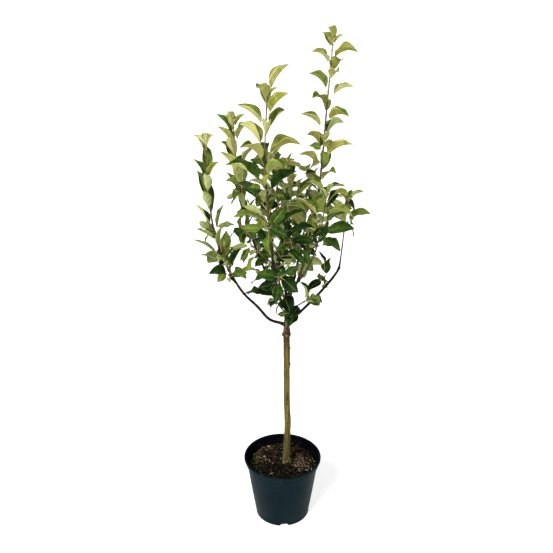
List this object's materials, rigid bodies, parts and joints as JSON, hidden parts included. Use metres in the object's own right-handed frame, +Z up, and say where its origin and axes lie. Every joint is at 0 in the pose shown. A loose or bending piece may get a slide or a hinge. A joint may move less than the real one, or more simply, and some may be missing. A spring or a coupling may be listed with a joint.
{
  "type": "dwarf apple tree in a pot",
  "caption": "Young dwarf apple tree on a short clean stem, with upright leafy shoots, growing in a round tapered nursery pot filled with potting mix.",
  "frame": {"origin": "centre of the pot's flat underside, on the surface that it stands on", "axes": "+Z straight up; the side that the reference view shows faces -Y; +X to the right in that view"},
  "size_m": [0.4851, 0.4717, 1.488],
  "materials": {
    "pot": "satin, blue-black moulded plastic",
    "potting_mix": "rough, dark brown bark-based potting mix",
    "bark_trunk": "satin olive-grey young bark",
    "bark_boughs": "satin dark purple-brown bark",
    "leaves": "satin green above, matt and paler beneath"
  },
  "bodies": {
    "root": {"pot": "pot", "potting_mix": "potting_mix", "trunk": "bark_trunk", "bough_left_low": "bark_boughs", "bough_left_mid": "bark_boughs", "bough_front_tall": "bark_boughs", "bough_right_tall": "bark_boughs", "bough_right_low": "bark_boughs", "bough_right_outer": "bark_boughs", "bough_front_right": "bark_boughs", "bough_right_twig": "bark_boughs", "bough_back_right": "bark_boughs", "bough_back_left": "bark_boughs", "bough_back_low": "bark_boughs", "leaves_left_low": "leaves", "leaves_left_fork": "leaves", "leaves_left_mid": "leaves", "leaves_front_tall": "leaves", "leaves_right_tall": "leaves", "leaves_right_outer": "leaves", "leaves_front_right": "leaves", "leaves_right_twig": "leaves", "leaves_right_spur": "leaves", "leaves_heart_front": "leaves", "leaves_heart_left": "leaves", "leaves_heart_right": "leaves", "leaves_back_right": "leaves", "leaves_back_left": "leaves", "leaves_back_low": "leaves"}
  },
  "joints": []
}
